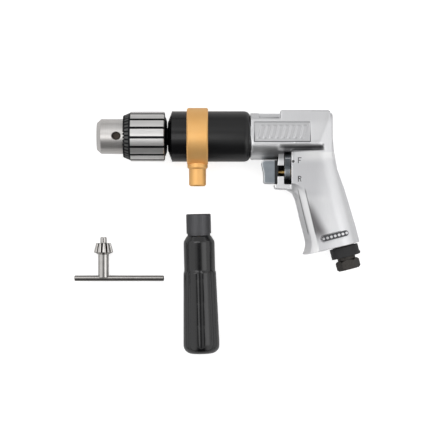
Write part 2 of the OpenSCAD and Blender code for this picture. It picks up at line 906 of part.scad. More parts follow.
// Grip with the thinner lip in front of the lever slot and the web that closes the slot below
module grip_side() {
    intersection() {
        translate([housing_end, 0, 0]) union() {
            translate([0, 0, -shelf_half]) linear_extrude(height = 2 * shelf_half) grip_outline();
            translate([0, 0, -grip_half]) linear_extrude(height = 2 * grip_half) intersection() {
                grip_outline();
                translate([slot_back, -2 * section_ref]) square([barrel_len, 2 * section_ref]);
            }
        }
        grip_width();
    }
    translate([housing_end + slot_front, -shelf_top - over, -cheek_outer])
        cube([slot_back - slot_front + over, shelf_top - cheek_root + over, cheek_outer - slot_floor]);
}

// Two cheeks beside the stem: the upper one with a window, the lower one joined to the web behind it
module cheeks() {
    for (side = [-1, 1]) translate([housing_end, 0, side * (cheek_inner + cheek_outer) / 2])
        linear_extrude(height = cheek_outer - cheek_inner, center = true) {
            cheek_back = side < 0 ? slot_front + over : slot_front;
            polygon([[cheek_top_front, -cheek_root], [cheek_front, -cheek_low], [cheek_back, -cheek_low],
                [cheek_back, -cheek_root]]);
            polygon([[cheek_front, -window_low], [cheek_front, -shelf_top - over],
                [cheek_back, -shelf_top - over], [cheek_back, -window_low]]);
            if (side < 0) polygon([[cheek_front, -cheek_low], [cheek_back, -cheek_low],
                [cheek_back, -window_low], [cheek_front, -window_low]]);
        }
}

// Sunk panel with slanted bars standing in it
module panel_field() {
    difference() {
        translate([panel_x + panel_rim, panel_rim - panel_bottom])
            square([panel_len - 2 * panel_rim, panel_top + panel_bottom - 2 * panel_rim]);
        for (i = [0 : panel_bars - 1]) translate([panel_x + panel_bar_inset + (i + bar_mid_share) * panel_bar_step, 0])
            polygon([[-panel_bar_slope - panel_bar_w, panel_bar_inset - panel_bottom],
                [panel_bar_w - panel_bar_slope, panel_bar_inset - panel_bottom],
                [panel_bar_w + panel_bar_slope, panel_top - panel_bar_inset],
                [panel_bar_slope - panel_bar_w, panel_top - panel_bar_inset]]);
    }
}

module badge_field() {
    translate([badge_x, -badge_y]) rotate(inlet_tilt) difference() {
        union() {
            translate([badge_w / 2 - badge_len / 2, -badge_w / 2]) square([badge_len - badge_w, badge_w]);
            for (side = [-1, 1]) translate([side * (badge_len - badge_w) / 2, 0]) circle(r = badge_w / 2);
        }
        for (i = [0 : badge_dots - 1])
            translate([(i - (badge_dots - 1) / 2) * badge_dot_step, 0]) circle(r = badge_dot_r);
    }
}

// Forward and reverse marks, cut as shallow strokes
module marks() {
    translate([mark_x, -mark_f_y]) {
        square([mark_line, mark_h]);
        translate([0, mark_h - mark_line]) square([mark_w, mark_line]);
        translate([0, (mark_h - mark_line) / 2]) square([mark_w - mark_line, mark_line]);
    }
    translate([mark_x, -mark_r_y]) {
        square([mark_line, mark_h]);
        translate([mark_bowl_r + mark_line / 4, mark_h - mark_bowl_r]) difference() {
            circle(r = mark_bowl_r);
            circle(r = mark_bowl_r - mark_line);
        }
        polygon([[mark_bowl_r, mark_h - 2 * mark_bowl_r + mark_line / 2],
            [mark_bowl_r + mark_line, mark_h - 2 * mark_bowl_r + mark_line / 2], [mark_w, 0],
            [mark_w - mark_line, 0]]);
    }
    translate([mark_dot_x, -mark_dot_y]) circle(r = mark_dot_r);
}

module pistol_body() {
    color(alloy_c) difference() {
        union() {
            barrel_side();
            grip_side();
            cheeks();
            rod(rear_body_x, housing_end + over, motor_r - seat_gap);
        }
        // Top recess with its pad
        for (side = [-1, 1])
            translate([housing_end + recess_front, recess_floor, side * (pad_half + barrel_r / 2) - barrel_r / 2])
                cube([slab_front - recess_front, barrel_r, barrel_r]);
        translate([housing_end + recess_front, pad_top, -barrel_r])
            cube([slab_front - recess_front, barrel_r, 2 * barrel_r]);
        // Slanting planes at the back of the barrel
        for (side = [0, 1]) mirror([0, 0, side])
            translate([housing_end + barrel_len - taper_start, -barrel_r, side_z])
                rotate([0, atan(taper_depth / taper_start), 0])
                    cube([section_ref, 2 * section_ref, section_ref]);
        // Valley between barrel and grip
        for (side = [0, 1]) mirror([0, 0, side]) intersection() {
            translate([housing_end, 0, 0]) linear_extrude(height = 2 * barrel_r) polygon(valley);
            translate([housing_end, 0, 0]) rotate([90, 0, 90]) linear_extrude(height = barrel_len)
                polygon(valley_section);
        }
        // Slot for the reversing lever
        translate([housing_end + slot_front, -shelf_top, -slot_floor])
            cube([slot_back - slot_front, shelf_top - slot_top, slot_floor + barrel_r]);
        // Motor seat, chamber behind it and the two galleries up from the valve
        rod(rear_body_x - over, rear_plate_end + spigot_bore_gap, rear_body_r);
        rod(rear_plate_end, rear_plate_end + back_chamber_len, back_chamber_r);
        for (side = [-1, 1]) translate([0, -port_y, side * port_z]) {
            rod(rear_plate_end, housing_end + gallery_x, port_r);
            translate([housing_end + gallery_x, 0, 0]) rotate([90, 0, 0])
                cylinder(h = valve_y - port_y, r = port_r);
        }
        // Valve bore and air passage
        on_valve(housing_end + slot_front) cylinder(h = valve_len + slot_back - slot_front, r = valve_r);
        on_inlet() {
            translate([0, 0, -inlet_passage_len]) cylinder(h = inlet_passage_len, r = inlet_passage_r);
            translate([0, 0, -inlet_thread_len]) cylinder(h = inlet_thread_len + over, r = inlet_thread_r);
        }
        // Front panel, badge and marks on both sides
        for (side = [0, 1]) mirror([0, 0, side]) {
            translate([housing_end, -side_low, side_z]) rotate([-side_tilt, 0, 0])
                translate([0, side_low, -panel_sink]) linear_extrude(height = barrel_r) panel_field();
            translate([housing_end, 0, grip_half - badge_sink]) linear_extrude(height = barrel_r) badge_field();
        }
        translate([housing_end, 0, grip_half - mark_sink]) linear_extrude(height = barrel_r) marks();
    }
}

module trigger() {
    color(grey_c) difference() {
        translate([housing_end, 0, -trigger_half]) linear_extrude(height = 2 * trigger_half)
            polygon(concat(trigger_nose, [[trigger_back, -trigger_bottom], [trigger_back, -trigger_top]]));
        difference() {
            translate([housing_end + trigger_front + trigger_skin + trigger_wall, trigger_wall - trigger_bottom,
                trigger_wall - trigger_half])
                cube([trigger_back, trigger_bottom - trigger_top - 2 * trigger_wall,
                    2 * trigger_half - 2 * trigger_wall]);
            on_valve(housing_end + trigger_front)
                cylinder(h = trigger_boss_back - trigger_front, r = trigger_boss_r);
        }
        on_valve(housing_end + stem_front) cylinder(h = trigger_back, r = stem_r + seat_gap);
        translate([housing_end + trigger_hole_x, trigger_wall - trigger_bottom + over, 0]) rotate([90, 0, 0])
            cylinder(h = trigger_wall + 2 * over, r = trigger_hole_r);
    }
}

module valve_stem() {
    color(brass_c) on_valve(housing_end + stem_front + seat_gap)
        cylinder(h = poppet_x - housing_end - stem_front, r = stem_r);
}

module valve_poppet() {
    color(rubber_c) difference() {
        on_valve(poppet_x) cylinder(h = poppet_w, r = poppet_r);
        on_valve(poppet_x - over) cylinder(h = 2 * over, r = stem_r + seat_gap);
    }
}

module valve_seat() {
    color(brass_c) on_valve(housing_end + seat_x) difference() {
        cylinder(h = seat_w, r = valve_r - seat_gap);
        translate([0, 0, -over]) cylinder(h = seat_w + 2 * over, r = seat_hole_r);
    }
}

module valve_spring() {
    color(steel_c) on_valve(spring_x) difference() {
        cylinder(h = valve_end - spring_x - seat_gap, r = spring_r);
        translate([0, 0, -over]) cylinder(h = valve_end - spring_x + 2 * over, r = spring_bore);
    }
}

module reverse_valve() {
    color(brass_c) difference() {
        on_valve(housing_end + spool_front) cylinder(h = spool_end - spool_front, r = valve_r - run_gap);
        on_valve(housing_end + spool_front - over) cylinder(h = valve_len, r = stem_r + run_gap);
        on_valve(housing_end + spool_front + spool_guide_len) cylinder(h = valve_len, r = spool_bore);
        translate([housing_end + spool_port_x, -valve_y, 0]) rotate([-90, 0, 0])
            cylinder(h = valve_r + over, r = spool_port_r);
    }
}

// Hub with a fan shaped thumb piece, turned by the valve
module reverse_lever() {
    color(grey_c) on_valve(housing_end + spool_front) linear_extrude(height = lever_w) difference() {
        union() {
            circle(r = lever_hub_r);
            intersection() {
                circle(r = lever_reach);
                polygon([[0, 0], [-2 * lever_reach * cos(lever_from), 2 * lever_reach * sin(lever_from)],
                    [-2 * lever_reach * cos(lever_to), 2 * lever_reach * sin(lever_to)]]);
            }
        }
        circle(r = valve_r - run_gap + seat_gap);
    }
}

module inlet_bushing() {
    color(dark_steel_c) on_inlet() difference() {
        union() {
            translate([0, 0, seat_gap - inlet_thread_len])
                cylinder(h = inlet_thread_len, r = inlet_thread_r - seat_gap);
            cylinder(h = deflector_gap + deflector_len, r = inlet_collar_r);
            cylinder(h = deflector_gap + deflector_len + inlet_neck_len + over, r = inlet_neck_r);
            intersection() {
                translate([0, 0, deflector_gap + deflector_len + inlet_neck_len])
                    cylinder(h = inlet_end - deflector_gap - deflector_len - inlet_neck_len,
                        r = hex_flats / 2 / cos(30), $fn = 6);
                translate([0, 0, deflector_gap + deflector_len + inlet_neck_len]) rotate_extrude()
                    polygon([[0, 0], [hex_flats / 2, 0], [hex_flats / 2 + hex_chamfer, hex_chamfer],
                        [hex_flats / 2 + hex_chamfer,
                            inlet_end - deflector_gap - deflector_len - inlet_neck_len - hex_chamfer],
                        [hex_flats / 2, inlet_end - deflector_gap - deflector_len - inlet_neck_len],
                        [0, inlet_end - deflector_gap - deflector_len - inlet_neck_len]]);
            }
        }
        translate([0, 0, inlet_end - inlet_hole_len]) cylinder(h = inlet_hole_len + over, r = inlet_r);
        translate([0, 0, -inlet_thread_len - over]) cylinder(h = 2 * inlet_thread_len, r = inlet_passage_r);
        translate([0, 0, oring_s]) rotate_extrude() translate([inlet_collar_r, 0]) circle(r = oring_r);
        translate([0, 0, inlet_end - inlet_hole_len - screen_seat_len])
            cylinder(h = screen_seat_len + over, r = screen_r + seat_gap);
    }
}

module inlet_screen() {
    color(brass_c) on_inlet() translate([0, 0, inlet_end - inlet_hole_len - screen_seat_len + seat_gap])
        difference() {
            cylinder(h = screen_w, r = screen_r);
            for (i = [-2 : 2], j = [-2 : 2]) if (i * i + j * j < 6)
                translate([i * screen_pitch, j * screen_pitch, -over])
                    cylinder(h = screen_w + 2 * over, r = screen_hole_r);
        }
}

module inlet_oring() {
    color(rubber_c) on_inlet() translate([0, 0, oring_s]) rotate_extrude() intersection() {
        translate([inlet_collar_r, 0]) circle(r = oring_r - seat_gap);
        translate([0, -inlet_collar_r]) square([inlet_collar_r + deflector_bore_gap / 2, 2 * inlet_collar_r]);
    }
}

module exhaust_deflector() {
    color(rubber_c) on_inlet() translate([0, 0, deflector_gap]) difference() {
        union() {
            cylinder(h = deflector_len, r = deflector_r);
            translate([deflector_bump_x, 0, deflector_bump_z]) sphere(r = deflector_bump_r);
        }
        translate([0, 0, -over]) cylinder(h = deflector_len + 2 * over, r = inlet_collar_r + deflector_bore_gap);
    }
}

module handle_ferrule() {
    color(dark_steel_c) on_handle() difference() {
        rotate_extrude() polygon([[0, 0], [ferrule_r - ferrule_chamfer, 0], [ferrule_r, ferrule_chamfer],
            [ferrule_r, ferrule_len], [ferrule_neck_r, ferrule_len], [ferrule_neck_r, ferrule_len + ferrule_neck_len],
            [ferrule_core_r, ferrule_len + ferrule_neck_len],
            [ferrule_core_r, ferrule_len + ferrule_neck_len + ferrule_core_len],
            [0, ferrule_len + ferrule_neck_len + ferrule_core_len]]);
        translate([0, 0, -over]) cylinder(h = ferrule_bore_len + over, r = post_r + ferrule_bore_gap);
    }
}

// Grip with a stepped shank and long grooves that leave rounded lands
module handle_grip() {
    grip_s = ferrule_len + ferrule_neck_len + seat_gap;
    color(black_c) on_handle() difference() {
        union() {
            rotate_extrude() polygon([[0, grip_s], [shoulder_front_r, grip_s], [shank_r, grip_s + shoulder_len],
                [shank_r, step_s], [step_r - step_round, step_s], [step_r, step_s + step_round],
                [handle_r, widest_s], [handle_r, handle_len - end_round], [0, handle_len - end_round]]);
            translate([0, 0, handle_len - end_round]) rotate_extrude() union() {
                translate([handle_r - end_round, 0]) intersection() {
                    circle(r = end_round);
                    square([end_round, end_round]);
                }
                square([handle_r - end_round, end_round]);
            }
        }
        translate([0, 0, grip_s - over])
            cylinder(h = ferrule_core_len + over + seat_gap, r = ferrule_core_r + seat_gap);
        for (i = [0 : handle_grooves - 1]) rotate(i * 360 / handle_grooves)
            translate([step_r + groove_r - groove_sink, 0, step_s - over])
                rotate([0, atan((handle_r - step_r) / (widest_s - step_s)), 0])
                    cylinder(h = handle_len, r = groove_r);
    }
}

module key_head() {
    gear_s = key_pilot_len + key_gear_len;
    color(steel_c) on_key() difference() {
        rotate_extrude() polygon([[0, 0], [key_pilot_r - key_pilot_chamfer, 0], [key_pilot_r, key_pilot_chamfer],
            [key_pilot_r, key_pilot_len], [key_front_r, key_pilot_len], [key_back_r, gear_s],
            [key_shank_r, gear_s + key_taper_len], [key_shank_r, key_shank_end], [0, key_shank_end]]);
        for (i = [0 : key_teeth - 1]) rotate(i * 360 / key_teeth)
            translate([key_front_r - key_tooth_depth, 0, key_pilot_len]) rotate([0, key_tooth_lean, 0])
                linear_extrude(height = 2 * key_gear_len + 2 * over, center = true)
                    polygon([[0, 0], [key_tooth_cut, key_tooth_cut * tan(key_tooth_flank)],
                        [key_tooth_cut, -key_tooth_cut * tan(key_tooth_flank)]]);
        translate([0, 0, key_bar_s]) rotate([0, 90, 0])
            cylinder(h = key_bar_len, r = key_bar_r + seat_gap, center = true);
    }
}

module key_bar() {
    color(steel_c) on_key() translate([-key_bar_left, 0, key_bar_s]) rotate([0, 90, 0]) rotate_extrude()
        polygon([[0, 0], [key_bar_r - key_bar_chamfer, 0], [key_bar_r, key_bar_chamfer],
            [key_bar_r, key_bar_len - key_bar_chamfer], [key_bar_r - key_bar_chamfer, key_bar_len],
            [0, key_bar_len]]);
}

chuck_body();
chuck_sleeve();
chuck_nut();
jaw_1();
jaw_2();
jaw_3();
chuck_screw();
spindle();
spindle_seal();
spindle_bearing_outer();
spindle_bearing_inner();
spindle_bearing_balls();
bearing_clip();
planet_pins();
planet_1();
planet_2();
planet_3();
ring_gear();
gear_case();
motor_housing();
front_plate();
rear_plate();
motor_cylinder();
motor_dowel();
rotor();
vanes();
rotor_bearing_outers();
rotor_bearing_inners();
rotor_bearing_balls();
clamp_ring();
clamp_screw();
pistol_body();
trigger();
valve_stem();
valve_poppet();
valve_seat();
valve_spring();
reverse_valve();
reverse_lever();
inlet_bushing();
inlet_screen();
inlet_oring();
exhaust_deflector();
handle_grip();
handle_ferrule();
key_head();
key_bar();
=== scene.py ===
"""Looks of the air drill set: camera, light, floor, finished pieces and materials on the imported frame."""

import json

import bpy
import numpy as np
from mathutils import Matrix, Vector

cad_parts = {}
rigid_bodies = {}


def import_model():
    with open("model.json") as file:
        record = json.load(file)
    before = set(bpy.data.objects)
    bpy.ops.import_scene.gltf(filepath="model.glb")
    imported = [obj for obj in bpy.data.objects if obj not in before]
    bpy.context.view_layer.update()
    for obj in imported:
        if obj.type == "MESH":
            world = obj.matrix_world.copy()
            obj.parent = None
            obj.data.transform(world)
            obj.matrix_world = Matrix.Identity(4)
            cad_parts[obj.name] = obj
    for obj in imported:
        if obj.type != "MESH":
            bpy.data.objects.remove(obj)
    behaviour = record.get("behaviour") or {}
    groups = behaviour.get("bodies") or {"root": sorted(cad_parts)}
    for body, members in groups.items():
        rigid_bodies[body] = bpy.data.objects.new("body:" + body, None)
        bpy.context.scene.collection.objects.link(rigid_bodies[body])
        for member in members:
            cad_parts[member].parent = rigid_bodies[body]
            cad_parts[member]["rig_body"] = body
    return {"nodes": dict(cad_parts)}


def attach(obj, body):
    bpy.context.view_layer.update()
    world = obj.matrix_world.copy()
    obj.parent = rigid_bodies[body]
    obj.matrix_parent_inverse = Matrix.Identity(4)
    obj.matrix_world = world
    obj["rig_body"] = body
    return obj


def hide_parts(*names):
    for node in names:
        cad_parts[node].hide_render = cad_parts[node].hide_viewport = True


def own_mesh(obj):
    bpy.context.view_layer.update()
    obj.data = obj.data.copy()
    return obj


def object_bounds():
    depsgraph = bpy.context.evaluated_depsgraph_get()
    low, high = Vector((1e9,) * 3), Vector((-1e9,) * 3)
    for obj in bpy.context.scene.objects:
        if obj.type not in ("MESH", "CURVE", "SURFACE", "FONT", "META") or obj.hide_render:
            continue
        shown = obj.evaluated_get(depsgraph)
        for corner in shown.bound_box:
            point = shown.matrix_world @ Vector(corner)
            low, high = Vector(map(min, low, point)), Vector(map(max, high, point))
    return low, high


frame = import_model()
nodes = frame["nodes"]
cad_low, cad_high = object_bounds()
scene = bpy.context.scene
scene.view_settings.view_transform = "Standard"

MM = 0.001

# Camera: straight above the set, with the barrel axis along the image's width
VIEW_WIDTH = 380.0 * MM
VIEW_CENTRE = Vector((106.1, -72.1, 0)) * MM
CAMERA_HEIGHT = 1.6
SENSOR_WIDTH = 36.0

camera_data = bpy.data.cameras.new("camera")
camera_data.sensor_width = SENSOR_WIDTH
camera_data.lens = SENSOR_WIDTH * CAMERA_HEIGHT / VIEW_WIDTH
camera = bpy.data.objects.new("camera", camera_data)
camera.location = VIEW_CENTRE + Vector((0, 0, CAMERA_HEIGHT))
scene.collection.objects.link(camera)
scene.camera = camera


def colour(red, green, blue):
    return (red, green, blue, 1.0)


WHITE = colour(1, 1, 1)


class Nodes:
    """A node tree with short calls for the nodes that the world and the materials use."""

    def __init__(self, tree):
        self.tree = tree

    def add(self, kind, inputs=None, **settings):
        node = self.tree.nodes.new(kind)
        for name, value in settings.items():
            setattr(node, name, value)
        for key, value in (inputs or {}).items():
            self.feed(node.inputs[key], value)
        return node

    def feed(self, socket, value):
        if isinstance(value, bpy.types.NodeSocket):
            self.tree.links.new(value, socket)
        else:
            socket.default_value = value

    def math(self, operation, *values):
        return self.add("ShaderNodeMath", dict(enumerate(values)), operation=operation).outputs[0]

    def vector_math(self, operation, *values):
        return self.add("ShaderNodeVectorMath", dict(enumerate(values)), operation=operation).outputs

    def product(self, first, *others):
        for other in others:
            first = self.math("MULTIPLY", first, other)
        return first

    def step(self, value, low, high):
        """0 at low, 1 at high, smooth between them and level beyond. Low may be the greater one."""
        node = self.add(
            "ShaderNodeMapRange",
            {"Value": value, "From Min": low, "From Max": high},
            interpolation_type="SMOOTHSTEP",
        )
        return node.outputs["Result"]

    def band(self, value, low, high, soft):
        """1 between low and high, falling to 0 over the soft width on both sides."""
        rise = self.step(value, low - soft, low)
        fall = self.step(value, high, high + soft)
        return self.math("SUBTRACT", rise, fall)

    def spread(self, value, low, high):
        """A 0 to 1 value stretched to run from low to high."""
        node = self.add("ShaderNodeMapRange", {"Value": value, "To Min": low, "To Max": high})
        return node.outputs["Result"]

    def mix(self, factor, first, second):
        """A mix of two colours. The node takes them at inputs 6 and 7 and gives the mix at output 2."""
        node = self.add("ShaderNodeMix", data_type="RGBA")
        self.feed(node.inputs["Factor"], factor)
        self.feed(node.inputs[6], first)
        self.feed(node.inputs[7], second)
        return node.outputs[2]

    def split(self, vector):
        return self.add("ShaderNodeSeparateXYZ", {0: vector}).outputs

    def length(self, vector, keep):
        """Length of the vector, measured only along the kept directions."""
        flat = self.vector_math("MULTIPLY", vector, keep)[0]
        return self.vector_math("LENGTH", flat)["Value"]

    def seen(self):
        """1 where the camera looks straight at it, 0 in reflections and for its light."""
        return self.add("ShaderNodeLightPath").outputs["Is Camera Ray"]


class Finish(Nodes):
    """A Principled material whose patterns are placed in the piece's own space."""

    def __init__(self, name, metallic=0.0):
        self.material = bpy.data.materials.new(name)
        self.material.use_nodes = True
        super().__init__(self.material.node_tree)
        self.shader = self.tree.nodes["Principled BSDF"]
        self.shader.inputs["Metallic"].default_value = metallic
        self.place = self.add("ShaderNodeTexCoord").outputs["Object"]

    def pattern(self, along, across=None, upward=None, detail=3.0):
        """Noise with the given number of cells per metre along X, Y and Z."""
        across = along if across is None else across
        upward = across if upward is None else upward
        scaled = self.vector_math("MULTIPLY", self.place, (along, across, upward))[0]
        noise = self.add("ShaderNodeTexNoise", {"Vector": scaled, "Scale": 1.0, "Detail": detail})
        return noise.outputs["Fac"]

    def spot(self):
        """The place on the piece in millimetres."""
        return self.vector_math("MULTIPLY", self.place, (1 / MM,) * 3)[0]

    def axis_radius(self, centre=(0, 0, 0), keep=(0, 1, 1)):
        """Millimetres from an axis through centre, measured only along the kept directions."""
        return self.length(self.vector_math("SUBTRACT", self.spot(), centre)[0], keep)

    def edges(self, low, high):
        """A step by how the mesh bends: hollows are below 0.5 and convex edges above it."""
        return self.step(self.add("ShaderNodeNewGeometry").outputs["Pointiness"], low, high)

    def shade(self, tone, tint, share, *masks):
        """The tone with a share of the tint where all the masks are 1."""
        return self.mix(self.product(*masks, share), tone, colour(*tint))

    def paint(self, value):
        self.feed(self.shader.inputs["Base Color"], value)

    def rough(self, value):
        self.feed(self.shader.inputs["Roughness"], value)

    def relief(self, height, depth):
        """Bumps of the given depth in millimetres."""
        bump = self.add("ShaderNodeBump", {"Height": height, "Distance": depth * MM, "Strength": 1.0})
        self.feed(self.shader.inputs["Normal"], bump.outputs["Normal"])


# Light: a soft box behind the set, boxes at both sides, a dark spot overhead and a dark front.
# Each edge is the pair of places where the step to that level starts and ends.
FRONT_LEVEL = 0.05
BACK_LEVEL = 0.64
BACK_EDGE = (-1.0, -0.2)
SIDE_LEVEL = 0.9
SIDE_EDGE = (0.2, 0.6)
SPOT_DEPTH = 0.8
SPOT_EDGE = (0.36, 0.1)
HORIZON_SHARE = 0.25
HORIZON_EDGE = (0.02, 0.2)
LEAST_UP = 0.05


def make_world():
    world = bpy.data.worlds.new("studio")
    world.use_nodes = True
    scene.world = world
    tree = Nodes(world.node_tree)
    direction = tree.add("ShaderNodeTexCoord").outputs["Generated"]
    across, back, up = tree.split(direction)
    lean = tree.math("DIVIDE", back, tree.math("MAXIMUM", up, LEAST_UP))
    back_box = tree.product(tree.step(lean, *BACK_EDGE), BACK_LEVEL)
    side_box = tree.product(tree.step(tree.math("ABSOLUTE", across), *SIDE_EDGE), SIDE_LEVEL)
    level = tree.math("MAXIMUM", tree.math("MAXIMUM", back_box, side_box), FRONT_LEVEL)
    off_top = tree.length(direction, (1, 1, 0))
    spot = tree.spread(tree.step(off_top, *SPOT_EDGE), 1.0, 1.0 - SPOT_DEPTH)
    horizon = tree.spread(tree.step(up, *HORIZON_EDGE), HORIZON_SHARE, 1.0)
    background = world.node_tree.nodes["Background"]
    tree.feed(background.inputs["Color"], tree.mix(tree.seen(), tree.product(level, spot, horizon), WHITE))
    background.inputs["Strength"].default_value = 1.0


def add_lamp(name, place, aim, size, power):
    data = bpy.data.lights.new(name, "AREA")
    data.shape = "RECTANGLE"
    data.size, data.size_y = size
    data.energy = power
    lamp = bpy.data.objects.new(name, data)
    lamp.location = place
    lamp.rotation_euler = (Vector(aim) - Vector(place)).to_track_quat("-Z", "Y").to_euler()
    scene.collection.objects.link(lamp)
    return lamp


# Soft boxes close above the drill: a strip along the barrel and a panel over the grip.
# Each has its low and high corner in metres and its level.
BOX_HEIGHT = 0.25
BOXES = {
    "barrel_box": ((-0.12, -0.065), (0.125, 0.041), 1.0),
    "grip_box": ((0.18, -0.22), (0.42, -0.03), 0.52),
}
WATTS_PER_LEVEL = 4.0


def add_soft_box(name, low, high, level):
    middle = (Vector(low) + Vector(high)) / 2
    size = Vector(high) - Vector(low)
    place = Vector((*middle, BOX_HEIGHT))
    lamp = add_lamp(name, place, Vector((*middle, 0)), size, level * WATTS_PER_LEVEL * size.x * size.y)
    lamp.visible_camera = False


# Floor: pale and dull, with enough glow of its own to look white to the camera
FLOOR_HALF = 3.0
FLOOR_SHADE = 0.8
FLOOR_ROUGHNESS = 0.9
FLOOR_GLOW = 0.68


def make_floor():
    bpy.ops.mesh.primitive_plane_add(size=2 * FLOOR_HALF, location=(VIEW_CENTRE.x, VIEW_CENTRE.y, cad_low.z))
    floor = bpy.context.object
    floor.name = "floor"
    material = bpy.data.materials.new("floor")
    material.use_nodes = True
    tree = Nodes(material.node_tree)
    shader = material.node_tree.nodes["Principled BSDF"]
    shader.inputs["Base Color"].default_value = colour(FLOOR_SHADE, FLOOR_SHADE, FLOOR_SHADE)
    shader.inputs["Roughness"].default_value = FLOOR_ROUGHNESS
    shader.inputs["Emission Color"].default_value = WHITE
    tree.feed(shader.inputs["Emission Strength"], tree.product(tree.seen(), FLOOR_GLOW))
    floor.data.materials.append(material)


KEY_LAMP_PLACE = (-0.35, 0.55, 1.0)
KEY_LAMP_SIZE = (0.8, 0.5)
KEY_LAMP_WATTS = 1.0

make_world()
make_floor()
add_lamp("key_lamp", KEY_LAMP_PLACE, VIEW_CENTRE, KEY_LAMP_SIZE, KEY_LAMP_WATTS)
for name, box in BOXES.items():
    add_soft_box(name, *box)

# Places in the materials below are in millimetres along X (along), Y (height) and Z (upward) of the piece.
# Two values are where a step is 0 and where it is 1. Three are the low, high and soft width of a band.

# Chuck nose
HOLE_RADIUS = (14.9, 14.4)
HOLE_ALONG = (13.4, 20.8, 0.2)
BACK_CONE = (58.4, 58.6)


def turned_steel():
    """Fine turning rings around the barrel axis, painted shade inside the key holes and a black back cone.
    """
    f = Finish("turned_steel", metallic=0.85)
    along = f.split(f.spot())[0]
    rings = f.pattern(5200, 40, detail=2.0)
    cloud = f.pattern(70, detail=2.0)
    bright = f.mix(rings, colour(0.62, 0.61, 0.6), colour(0.8, 0.79, 0.78))
    tone = f.mix(f.spread(cloud, 0.0, 0.3), bright, colour(0.56, 0.48, 0.42))
    # Painted shade inside the key holes
    in_hole = f.step(f.axis_radius(), *HOLE_RADIUS)
    tone = f.shade(tone, (0.05, 0.04, 0.034), 1.0, in_hole, f.band(along, *HOLE_ALONG))
    f.paint(f.shade(tone, (0.02, 0.02, 0.022), 1.0, f.step(along, *BACK_CONE)))
    f.rough(f.spread(rings, 0.26, 0.38))
    f.relief(rings, 0.02)
    return f.material


# Chuck sleeve: teeth and flutes are counted around the barrel axis
CHUCK_TEETH = 36.0
TOOTH_BACK_ALONG = (24.6, 27.2, 0.6)
TOOTH_BACK_WAVE = (0.9, -0.6)
FLUTES = 16.0
FLUTE_TURN = np.radians(4.5)
FLUTE_LAP = (0.8, 0.6)
RIDGE_RADIUS = (20.6, 20.9)
RIDGE_START = (29.1, 29.4)
RIDGE_POLISH = 0.12


def fluted_steel():
    """Bright ridges with black flutes, and black teeth with a painted highlight on their backs."""
    f = Finish("fluted_steel", metallic=0.85)
    along, height, upward = f.split(f.spot())
    turn = f.math("ARCTAN2", height, upward)
    grain = f.pattern(90, 3000, detail=2.0)
    cloud = f.pattern(260)
    tooth_wave = f.math("COSINE", f.math("MULTIPLY", turn, CHUCK_TEETH))
    flute_wave = f.math("COSINE", f.math("MULTIPLY_ADD", turn, FLUTES, FLUTES * FLUTE_TURN))
    on_ridge = f.product(f.step(f.axis_radius(), *RIDGE_RADIUS), f.step(along, *RIDGE_START))
    ridge = f.product(on_ridge, f.step(flute_wave, *FLUTE_LAP))
    # Painted highlight where the backs of the teeth catch the light
    back = f.product(f.band(along, *TOOTH_BACK_ALONG), f.step(tooth_wave, *TOOTH_BACK_WAVE))
    bright = f.mix(grain, colour(0.62, 0.61, 0.6), colour(0.84, 0.83, 0.82))
    black = f.mix(back, colour(0.012, 0.012, 0.014), colour(0.11, 0.11, 0.11))
    f.paint(f.mix(ridge, black, bright))
    f.rough(f.math("SUBTRACT", f.spread(cloud, 0.42, 0.5), f.product(ridge, RIDGE_POLISH)))
    f.relief(grain, 0.01)
    return f.material


def black_enamel(name, shade, rough, grain, depth):
    """Black paint with a fine uneven gloss."""
    f = Finish(name)
    cloud = f.pattern(55, detail=4.0)
    f.paint(f.mix(cloud, colour(shade, shade, shade * 1.1), colour(shade * 1.8, shade * 1.8, shade * 2.0)))
    f.rough(f.spread(cloud, *rough))
    f.relief(f.pattern(grain, detail=2.0), depth)
    return f.material


def gold_plating():
    """Gold satin plating with slow colour clouds and a fine tooth."""
    f = Finish("gold_plating", metallic=0.6)
    fine = f.pattern(1500)
    tone = f.mix(f.pattern(70), colour(1.0, 0.53, 0.16), colour(1.0, 0.61, 0.24))
    f.paint(f.mix(f.spread(fine, 0.0, 0.1), tone, colour(0.7, 0.3, 0.08)))
    f.rough(f.spread(fine, 0.36, 0.52))
    f.relief(fine, 0.02)
    return f.material


# Casting, barrel: top slab, ledge under the recess, belly and the part of it over the trigger, where shade
# is painted
SLAB_HEIGHT = (8, 16)
LEDGE_HEIGHT = (15.3, 16.0, 0.3)
LEDGE_ALONG = (140, 156.4, 0.5)
LEDGE_FADE = (134, 160)
BELLY_HEIGHT = (-15.5, -8.6, 2.4)
BELLY_END = (172, 166)
OVER_TRIGGER_ALONG = (150, 160.6, 11)
OVER_TRIGGER_TOP = (-8.5, -14.5)
OVER_TRIGGER_BOTTOM = (-22.5, -18)


def shade_barrel(f, tone, along, height):
    """Painted shade on the slab, a painted shadow line under the ledge, painted shade on the belly that
    grows dark towards the trigger, and a painted shadow over the trigger.
    """
    # Painted shade on the slab
    tone = f.shade(tone, (0.55, 0.55, 0.56), 0.25, f.step(height, *SLAB_HEIGHT))
    # Painted shadow line under the ledge
    on_ledge = f.product(f.band(along, *LEDGE_ALONG), f.step(along, *LEDGE_FADE))
    tone = f.shade(tone, (0.16, 0.16, 0.17), 1.0, f.band(height, *LEDGE_HEIGHT), on_ledge)
    # Painted shade on the belly
    belly = f.product(f.band(height, *BELLY_HEIGHT), f.step(along, *BELLY_END))
    tone = f.shade(tone, (0.24, 0.24, 0.25), 0.4, belly)
    # Painted shadow on the barrel over the trigger
    beside_trigger = f.product(f.step(height, *OVER_TRIGGER_TOP), f.step(height, *OVER_TRIGGER_BOTTOM))
    return f.shade(tone, (0.03, 0.03, 0.034), 0.62, f.band(along, *OVER_TRIGGER_ALONG), beside_trigger)
